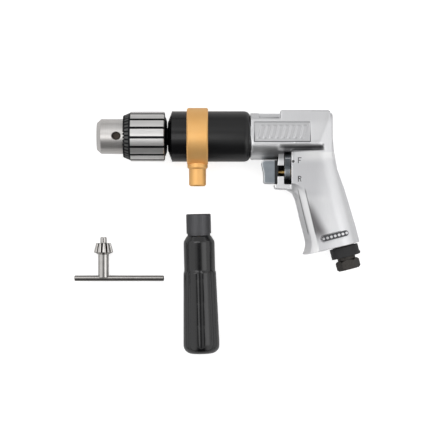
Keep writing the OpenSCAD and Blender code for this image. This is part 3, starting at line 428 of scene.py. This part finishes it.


# Casting, valley between barrel and grip: painted dark reflection in the hollow, painted shade along its
# slanted lower edge and the painted highlight strip below
HOLLOW_START = (140, 186)
HOLLOW_END = (196, 194)
HOLLOW_HEIGHT = (-11.6, -7.6, 1.6)
HOLLOW_FLOOR = (17.8, 16.6)
EDGE_SLOPE = -0.08
EDGE_SLANT = (-28.4, -26.8)
EDGE_TOP = (-8, -10)
EDGE_ALONG = (162, 192, 3)
STRIP_TOP = (-13.3, -14.5)
STRIP_BOTTOM = (-24, -16)
STRIP_START = (172, 186)


def shade_valley(f, tone, along, height, upward):
    """Painted dark reflection in the hollow between barrel and grip with a soft painted shade on its lower
    edge, and a painted highlight strip below it.
    """
    # Painted dark reflection in the hollow
    hollow_along = f.product(f.step(along, *HOLLOW_START), f.step(along, *HOLLOW_END))
    hollow_depth = f.product(f.band(height, *HOLLOW_HEIGHT), f.step(upward, *HOLLOW_FLOOR))
    tone = f.shade(tone, (0.1, 0.1, 0.105), 0.85, hollow_along, hollow_depth)
    # Painted shade along the hollow's slanted lower edge
    slanted = f.math("MULTIPLY_ADD", along, EDGE_SLOPE, height)
    edge = f.product(f.step(slanted, *EDGE_SLANT), f.step(height, *EDGE_TOP), f.band(along, *EDGE_ALONG))
    tone = f.shade(tone, (0.08, 0.08, 0.085), 0.8, edge)
    # Painted highlight strip below the hollow
    highlight_strip = f.product(f.step(height, *STRIP_BOTTOM), f.step(height, *STRIP_TOP), f.step(along, *STRIP_START))
    return f.shade(tone, (1, 1, 1), 0.8, highlight_strip)


# Casting, grip: lever slot, flat side and the front strap, whose distance is measured across the grip.
# The haze and the lee are the faint and the deep shade behind the strap.
SLOT_ALONG = (155.5, 167.3, 0.4)
SLOT_HEIGHT = (-42, -15.5, 0.6)
SLOT_DEPTH = (11, 8)
STRAP_SLOPE = 0.239
STRAP_OFFSET = -157.84
GRIP_TOP = (-42, -56)
GRIP_SIDE = (12, 16)
HAZE_START = (9, 10.5)
HAZE_END = (26, 14)
FLAT_HEIGHT = (-48, -25, 7)
FLAT_BACK = (202, 186)
FLAT_SIDE = (15, 16.6)
STRAP_RIDGE = (4.8, 9.0, 0.5)
LEE_START = (9.4, 10.3)
LEE_HEIGHT = (-80, -64, 14)
LEE_WIDENING = 0.3
LEE_END = (-1, -11)
FRONT_SHADE_LINE = (3.6, 4.2, 0.3)
BACK_SHADE_LINE = (9.7, 10.4, 0.3)
SHADE_LINE_HEIGHT = (-82, -48, 4)
SHADE_LINE_SIDE = (9, 11)


def shade_grip(f, tone, along, height, upward):
    """Painted shade in the lever slot and on the flat, and a painted highlight on the strap ridge between
    two painted shade lines, with a shade behind it.
    """
    # Painted shade in the lever slot
    slot = f.product(f.band(along, *SLOT_ALONG), f.band(height, *SLOT_HEIGHT), f.step(upward, *SLOT_DEPTH))
    tone = f.shade(tone, (0.02, 0.02, 0.022), 1.0, slot)
    off_strap = f.math("ADD", f.math("MULTIPLY_ADD", height, STRAP_SLOPE, along), STRAP_OFFSET)
    grip = f.product(f.step(height, *GRIP_TOP), f.step(upward, *GRIP_SIDE))
    haze = f.product(grip, f.step(off_strap, *HAZE_START), f.step(off_strap, *HAZE_END))
    tone = f.shade(tone, (0.45, 0.45, 0.47), 0.3, haze)
    # Painted shade on the flat
    flat = f.product(f.band(height, *FLAT_HEIGHT), f.step(along, *FLAT_BACK), f.step(upward, *FLAT_SIDE))
    tone = f.shade(tone, (0.45, 0.45, 0.475), 0.34, flat)
    # Painted highlight on the strap ridge
    tone = f.shade(tone, (1, 1, 1), 0.8, grip, f.band(off_strap, *STRAP_RIDGE))
    widening = f.math("MULTIPLY_ADD", height, LEE_WIDENING, off_strap)
    lee = f.product(f.step(off_strap, *LEE_START), f.step(widening, *LEE_END), f.band(height, *LEE_HEIGHT))
    tone = f.shade(tone, (0.15, 0.142, 0.147), 0.92, grip, lee)
    # Painted shade lines along both sides of the strap ridge
    shade_lines = f.math("ADD", f.band(off_strap, *FRONT_SHADE_LINE), f.band(off_strap, *BACK_SHADE_LINE))
    on_side = f.product(f.band(height, *SHADE_LINE_HEIGHT), f.step(upward, *SHADE_LINE_SIDE))
    return f.shade(tone, (0.12, 0.12, 0.125), 0.6, shade_lines, on_side)


# Casting, sunk panel on the barrel
PANEL_CENTRE = (159.4, 3.4)
PANEL_HALF = (24.1, 8.7)
PANEL_FIELD = (0, -0.6)
PANEL_RIM = (-0.5, 0.1, 0.15)
RIM_FADE = (8, -3)


def shade_panel(f, tone, along, height, cloud):
    """Dull sunk panel inside a painted shade line that is fainter at the top."""
    beside, above = (
        f.math("SUBTRACT", f.math("ABSOLUTE", f.math("SUBTRACT", place, centre)), half)
        for place, centre, half in zip((along, height), PANEL_CENTRE, PANEL_HALF)
    )
    outward = f.math("MAXIMUM", beside, above)
    tone = f.shade(tone, (0.44, 0.44, 0.45), f.spread(cloud, 0.3, 0.6), f.step(outward, *PANEL_FIELD))
    # Painted shade line along the sunk edge, fainter at the top
    rim_share = f.spread(f.step(height, *RIM_FADE), 0.4, 1.0)
    return f.shade(tone, (0.08, 0.08, 0.09), rim_share, f.band(outward, *PANEL_RIM))


def polished_casting():
    """Hand polished aluminium casting with brushed streaks, painted shade in the hollows and its other
    places of painted light and shade.
    """
    f = Finish("polished_casting", metallic=0.8)
    along, height, upward = f.split(f.spot())
    streak = f.pattern(900, 160)
    cloud = f.pattern(60)
    wave = f.pattern(140, detail=1.0)
    tone = f.mix(cloud, colour(0.84, 0.845, 0.86), colour(0.93, 0.93, 0.94))
    tone = f.mix(f.spread(streak, 0.0, 0.25), tone, colour(0.7, 0.7, 0.72))
    # Painted shade in the hollows of the mesh
    tone = f.mix(f.edges(0.49, 0.44), tone, colour(0.2, 0.2, 0.21))
    tone = shade_barrel(f, tone, along, height)
    tone = shade_valley(f, tone, along, height, upward)
    tone = shade_grip(f, tone, along, height, upward)
    f.paint(shade_panel(f, tone, along, height, cloud))
    f.rough(f.spread(streak, 0.34, 0.44))
    f.relief(f.math("ADD", wave, f.product(streak, 0.25)), 0.03)
    return f.material


UNDER_CHEEK = (153.2, 157, 0.4)


def cast_zinc():
    """Dull grey die casting with a fine grain, a painted highlight on the convex edges and a painted shadow
    on the end under the cheeks.
    """
    f = Finish("cast_zinc", metallic=0.55)
    along = f.split(f.spot())[0]
    fine = f.pattern(2200)
    body = f.mix(f.pattern(180), colour(0.24, 0.27, 0.3), colour(0.33, 0.36, 0.39))
    # Painted highlight on the convex edges
    tone = f.mix(f.edges(0.502, 0.518), body, colour(0.66, 0.68, 0.7))
    # Painted shadow on the end that runs under the cheeks
    f.paint(f.shade(tone, (0.03, 0.032, 0.034), 1.0, f.band(along, *UNDER_CHEEK)))
    f.rough(f.spread(fine, 0.34, 0.48))
    f.relief(fine, 0.015)
    return f.material


def metal(name, dark, light, rough, cells=(700, 700, 700)):
    """Plain metal with a grain of the given cells per metre."""
    f = Finish(name, metallic=1.0)
    grain = f.pattern(*cells)
    f.paint(f.mix(grain, colour(*dark), colour(*light)))
    f.rough(f.spread(grain, *rough))
    f.relief(grain, 0.01)
    return f.material


# Key: reach is measured along its shank from the tip, and the gear's cone widens with it
KEY_TIP = -86.9
KEY_AXIS = (4.5, 0, -16.2)
CONE_START_R = 5.0
CONE_SLOPE = 0.2625
GEAR_REACH = (5.2, 13.6, 0.2)
GAP_DEPTH = (0.4, 1.0)
LOW_SIDE = (-14.0, -16.0)


def plated_steel(name, dark, light):
    """Bright key steel with faint clouds, painted shade on the low sides and in the tooth gaps."""
    f = Finish(name, metallic=1.0)
    height, upward = f.split(f.spot())[1:]
    cloud = f.pattern(200)
    bright = f.mix(cloud, colour(*dark), colour(*light))
    # Painted shade on the low sides
    tone = f.shade(bright, (0.12, 0.11, 0.1), 0.75, f.step(upward, *LOW_SIDE))
    # Painted shade in the gaps between the gear teeth
    reach = f.math("SUBTRACT", KEY_TIP, height)
    cone = f.math("MULTIPLY_ADD", reach, CONE_SLOPE, CONE_START_R)
    sunk = f.math("SUBTRACT", cone, f.axis_radius(KEY_AXIS, (1, 0, 1)))
    f.paint(f.shade(tone, (0.02, 0.018, 0.016), 1.0, f.step(sunk, *GAP_DEPTH), f.band(reach, *GEAR_REACH)))
    f.rough(f.spread(cloud, 0.14, 0.22))
    f.relief(cloud, 0.02)
    return f.material


def moulded(name, dark, light, rough, cells=900, depth=0.02, shine=0.5):
    """Plain rubber or plastic with a moulded grain."""
    f = Finish(name)
    f.shader.inputs["Specular IOR Level"].default_value = shine
    grain = f.pattern(cells)
    f.paint(f.mix(f.pattern(60, detail=2.0), colour(*dark), colour(*light)))
    f.rough(f.spread(grain, *rough))
    f.relief(grain, depth)
    return f.material


LENGTHWISE = (60, 2500, 2500)
TURNED = (1600, 90, 90)

steel_nose = turned_steel()
steel_sleeve = fluted_steel()
ground = metal("ground_steel", (0.5, 0.5, 0.5), (0.66, 0.66, 0.65), (0.2, 0.32), LENGTHWISE)
dark_steel = metal("dark_steel", (0.07, 0.07, 0.075), (0.14, 0.14, 0.145), (0.38, 0.5), TURNED)
black_oxide = metal("black_oxide", (0.012, 0.012, 0.013), (0.026, 0.026, 0.027), (0.36, 0.5), TURNED)
phosphate = metal("phosphate_steel", (0.05, 0.046, 0.042), (0.1, 0.094, 0.088), (0.4, 0.55))
brass = metal("brass", (0.62, 0.4, 0.14), (0.78, 0.55, 0.24), (0.24, 0.36), (1500, 120, 120))
key_steel = plated_steel("key_steel", (0.54, 0.52, 0.5), (0.7, 0.68, 0.66))
bar_steel = plated_steel("bar_steel", (0.31, 0.295, 0.284), (0.43, 0.414, 0.4))
rubber = moulded("rubber", (0.012, 0.012, 0.013), (0.02, 0.02, 0.021), (0.5, 0.65))
laminate = moulded("vane_laminate", (0.1, 0.045, 0.018), (0.17, 0.08, 0.03), (0.45, 0.6))
grip_plastic = moulded(
    "grip_plastic",
    (0.002, 0.002, 0.0025),
    (0.003, 0.003, 0.004),
    (0.14, 0.22),
    cells=220,
    depth=0.03,
    shine=0.75,
)
gloss_black = black_enamel("gloss_black", 0.003, (0.16, 0.26), 900, 0.008)
satin_black = black_enamel("satin_black", 0.004, (0.26, 0.36), 1800, 0.012)
gold = gold_plating()
casting = polished_casting()
zinc = cast_zinc()

FINISHES = {
    steel_nose: ["chuck_body"],
    steel_sleeve: ["chuck_sleeve"],
    ground: ["jaw_1", "jaw_2", "jaw_3", "spindle_bearing_outer", "spindle_bearing_inner",
             "spindle_bearing_balls", "planet_pins", "planet_1", "planet_2", "planet_3", "ring_gear",
             "motor_dowel", "rotor", "rotor_bearing_outers", "rotor_bearing_inners", "rotor_bearing_balls",
             "valve_spring", "inlet_screen"],
    dark_steel: ["chuck_nut", "chuck_screw", "bearing_clip", "front_plate", "rear_plate", "motor_cylinder",
                 "clamp_screw", "handle_ferrule"],
    key_steel: ["key_head"],
    bar_steel: ["key_bar"],
    brass: ["valve_stem", "valve_seat", "reverse_valve"],
    phosphate: ["inlet_bushing"],
    black_oxide: ["spindle"],
    rubber: ["spindle_seal", "valve_poppet", "inlet_oring", "exhaust_deflector"],
    grip_plastic: ["handle_grip"],
    laminate: ["vanes"],
    gloss_black: ["gear_case"],
    satin_black: ["motor_housing"],
    gold: ["clamp_ring"],
    casting: ["pistol_body"],
    zinc: ["trigger", "reverse_lever"],
}

for material, names in FINISHES.items():
    for name in names:
        mesh = nodes[name].data
        mesh.materials.clear()
        mesh.materials.append(material)


def add_piece(name, mesh):
    piece = bpy.data.objects.new(name, mesh)
    scene.collection.objects.link(piece)
    return piece


# Cast and moulded pieces: a finely remeshed copy of the node with eased edges stands for it.
# Each has the size of its mesh cells and the number of easing passes.
SOFTENED = {
    "trigger": (0.35 * MM, 36),
    "reverse_lever": (0.3 * MM, 4),
    "handle_grip": (0.5 * MM, 14),
    "exhaust_deflector": (0.35 * MM, 4),
    "key_head": (0.2 * MM, 3),
}
EASE_FACTOR = 0.5


def evaluated_mesh(piece):
    return bpy.data.meshes.new_from_object(piece.evaluated_get(bpy.context.evaluated_depsgraph_get()))


def ease(piece, passes, group=""):
    smooth = piece.modifiers.new("ease", "SMOOTH")
    smooth.factor = EASE_FACTOR
    smooth.iterations = passes
    smooth.vertex_group = group


def soften(name, cell, passes):
    node = nodes[name]
    piece = add_piece(name + "_finish", node.data.copy())
    remesh = piece.modifiers.new("cells", "REMESH")
    remesh.mode = "VOXEL"
    remesh.voxel_size = cell
    remesh.use_smooth_shade = True
    ease(piece, passes)
    mesh = evaluated_mesh(piece)
    piece.modifiers.clear()
    piece.data = mesh
    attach(piece, node["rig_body"])
    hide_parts(name)
    return piece


for name, (cell, passes) in SOFTENED.items():
    soften(name, cell, passes)

# Pistol body: the creases at the back of the barrel, at the front of the valley and on the lip are broad.
# The limits of these places are in millimetres.
PISTOL_CELL = 0.4 * MM
PISTOL_PASSES = 4
BROAD_PASSES = 100
LIP_SHARE = 0.12
BACK_START = 184
BACK_BOTTOM = -22
BACK_SIDE = 10.5
VALLEY_END = 170
VALLEY_BOTTOM = -13.4
VALLEY_TOP = -3.4
VALLEY_SIDE = 10
LIP_END = 178
LIP_TOP = -42


def finish_pistol():
    piece = soften("pistol_body", PISTOL_CELL, PISTOL_PASSES)
    mesh = piece.data
    places = np.empty(3 * len(mesh.vertices), dtype=np.float32)
    mesh.vertices.foreach_get("co", places)
    x, y, z = places.reshape(-1, 3).T / MM
    broad = piece.vertex_groups.new(name="broad")
    barrel_back = (x > BACK_START) & (y > BACK_BOTTOM) & (np.abs(z) > BACK_SIDE)
    valley_front = (x < VALLEY_END) & (y > VALLEY_BOTTOM) & (y < VALLEY_TOP) & (np.abs(z) > VALLEY_SIDE)
    lip = (x < LIP_END) & (y < LIP_TOP)
    broad.add(np.flatnonzero(barrel_back | valley_front).tolist(), 1.0, "REPLACE")
    broad.add(np.flatnonzero(lip).tolist(), LIP_SHARE, "REPLACE")
    ease(piece, BROAD_PASSES, "broad")


finish_pistol()

# Badge on the grip: a dark field with a raised rim and studs, laid over the flat and the round back.
# Its sizes are in millimetres.
BADGE_CENTRE = (204.6, -85.7)
BADGE_HALF = (12.4, 3.0)
BADGE_RIM = 0.55
BADGE_RISE = 0.3
BADGE_FIELD_RISE = 0.05
BADGE_SKIRT_SINK = 0.2
BADGE_CELL = 0.2
STUD_STEP = 3.4
STUD_R = 1.1
STUDS_EACH_WAY = 3
GRIP_TILT = np.radians(14.5)
GRIP_HALF = 17.0
FLAT_START = (173.7, -67.2)
FLAT_LEN = 28.6


def grip_surface(x, y):
    """Height of the grip's side: flat, then round from the end of the flat."""
    across = (x - FLAT_START[0]) * np.cos(GRIP_TILT) + (y - FLAT_START[1]) * np.sin(GRIP_TILT)
    past_flat = np.clip(across - FLAT_LEN, 0, GRIP_HALF)
    return np.sqrt(GRIP_HALF ** 2 - past_flat ** 2)


def add_badge():
    along = np.arange(-BADGE_HALF[0], BADGE_HALF[0] + BADGE_CELL, BADGE_CELL)
    across = np.arange(-BADGE_HALF[1], BADGE_HALF[1] + BADGE_CELL, BADGE_CELL)
    u, v = np.meshgrid(along, across, indexing="ij")
    inside = BADGE_HALF[1] - np.hypot(np.maximum(np.abs(u) - BADGE_HALF[0] + BADGE_HALF[1], 0), v)
    nearest = np.clip(np.round(u / STUD_STEP), -STUDS_EACH_WAY, STUDS_EACH_WAY)
    stud = np.hypot(u - STUD_STEP * nearest, v) < STUD_R
    raised = ((inside < BADGE_RIM) | stud) & (inside > BADGE_CELL)
    x = BADGE_CENTRE[0] + u * np.cos(GRIP_TILT) - v * np.sin(GRIP_TILT)
    y = BADGE_CENTRE[1] + u * np.sin(GRIP_TILT) + v * np.cos(GRIP_TILT)
    level = np.where(inside > BADGE_CELL, BADGE_FIELD_RISE, -BADGE_SKIRT_SINK)
    z = grip_surface(x, y) + np.where(raised, BADGE_RISE, level)
    index = np.arange(u.size).reshape(u.shape)
    around = [index[:-1, :-1], index[1:, :-1], index[1:, 1:], index[:-1, 1:]]
    corners = np.stack(around, axis=-1).reshape(-1, 4)
    faces = corners[np.all(inside.ravel()[corners] > -BADGE_CELL / 2, axis=1)]
    mesh = bpy.data.meshes.new("badge")
    mesh.from_pydata((np.stack([x, y, z], axis=-1).reshape(-1, 3) * MM).tolist(), [], faces.tolist())
    mesh.materials.append(dark_steel)
    mesh.materials.append(casting)
    mesh.polygons.foreach_set("material_index", raised.ravel()[faces].any(axis=1).astype(np.int32))
    badge = add_piece("badge", mesh)
    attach(badge, nodes["pistol_body"]["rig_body"])


add_badge()

# Marks beside the lever: copies of the floors of the node's sunk strokes, raised to be dark inlays
MARK_FLOOR = 16.7 * MM
MARK_FACE = 17.03 * MM
MARK_TOLERANCE = 0.001 * MM


def add_marks():
    source = nodes["pistol_body"].data
    points = []
    faces = []
    for polygon in source.polygons:
        corners = [source.vertices[i].co for i in polygon.vertices]
        if all(abs(corner.z - MARK_FLOOR) <= MARK_TOLERANCE for corner in corners):
            faces.append(list(range(len(points), len(points) + len(corners))))
            points += [(corner.x, corner.y, MARK_FACE) for corner in corners]
    mesh = bpy.data.meshes.new("marks")
    mesh.from_pydata(points, [], faces)
    mesh.materials.append(dark_steel)
    marks = add_piece("marks", mesh)
    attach(marks, nodes["pistol_body"]["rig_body"])


add_marks()


def add_spring():
    node = nodes["valve_spring"]
    spring = add_piece("valve_spring_free", node.data.copy())
    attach(spring, node["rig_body"])
    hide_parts("valve_spring")
    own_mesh(spring)


add_spring()
